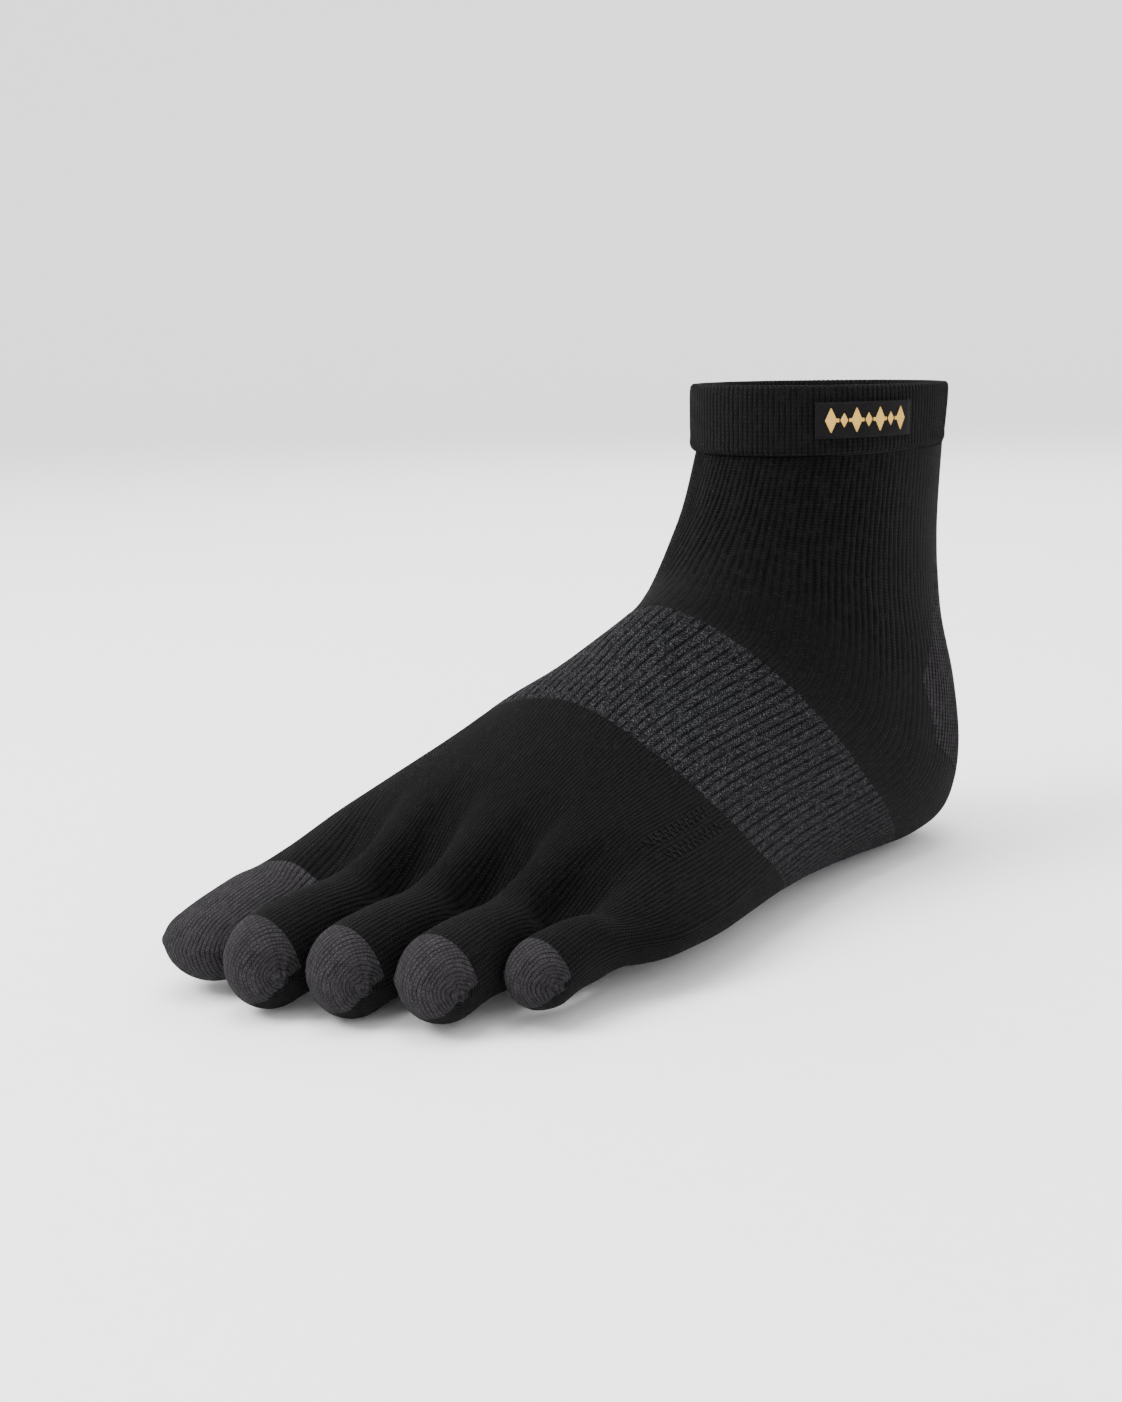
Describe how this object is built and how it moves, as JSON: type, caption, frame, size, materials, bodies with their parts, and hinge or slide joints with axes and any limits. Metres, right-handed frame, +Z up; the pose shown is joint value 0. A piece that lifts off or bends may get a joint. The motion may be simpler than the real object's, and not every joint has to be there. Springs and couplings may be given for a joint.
{
  "type": "toe sock",
  "caption": "Left ankle sock with a separate pocket for each toe, a grey band round the arch, grey toe tips and heel patch, a raised cuff and a small woven label.",
  "frame": {"origin": "on the sole, under the middle of the ankle, where the foot stands in the sock", "axes": "the toes point to -Y, +X is the outer (little toe) side, +Z runs up the leg"},
  "size_m": [0.1044, 0.2519, 0.135],
  "materials": {
    "black_knit": "black knitted yarn with a light fuzz",
    "black_rib": "black ribbed welt",
    "heather_rib": "heather charcoal elastic rib",
    "grey_knit": "heather grey reinforced knit",
    "woven_label": "black satin weave with gold thread"
  },
  "bodies": {
    "root": {"cuff": "black_rib", "label": "woven_label", "leg_and_heel": "black_knit", "heel_patch": "grey_knit", "arch_band": "heather_rib", "forefoot": "black_knit", "big_toe": "grey_knit", "second_toe": "black_knit", "second_toe_cap": "grey_knit", "third_toe": "black_knit", "third_toe_cap": "grey_knit", "fourth_toe": "black_knit", "fourth_toe_cap": "grey_knit", "little_toe": "black_knit", "little_toe_cap": "grey_knit"}
  },
  "joints": []
}
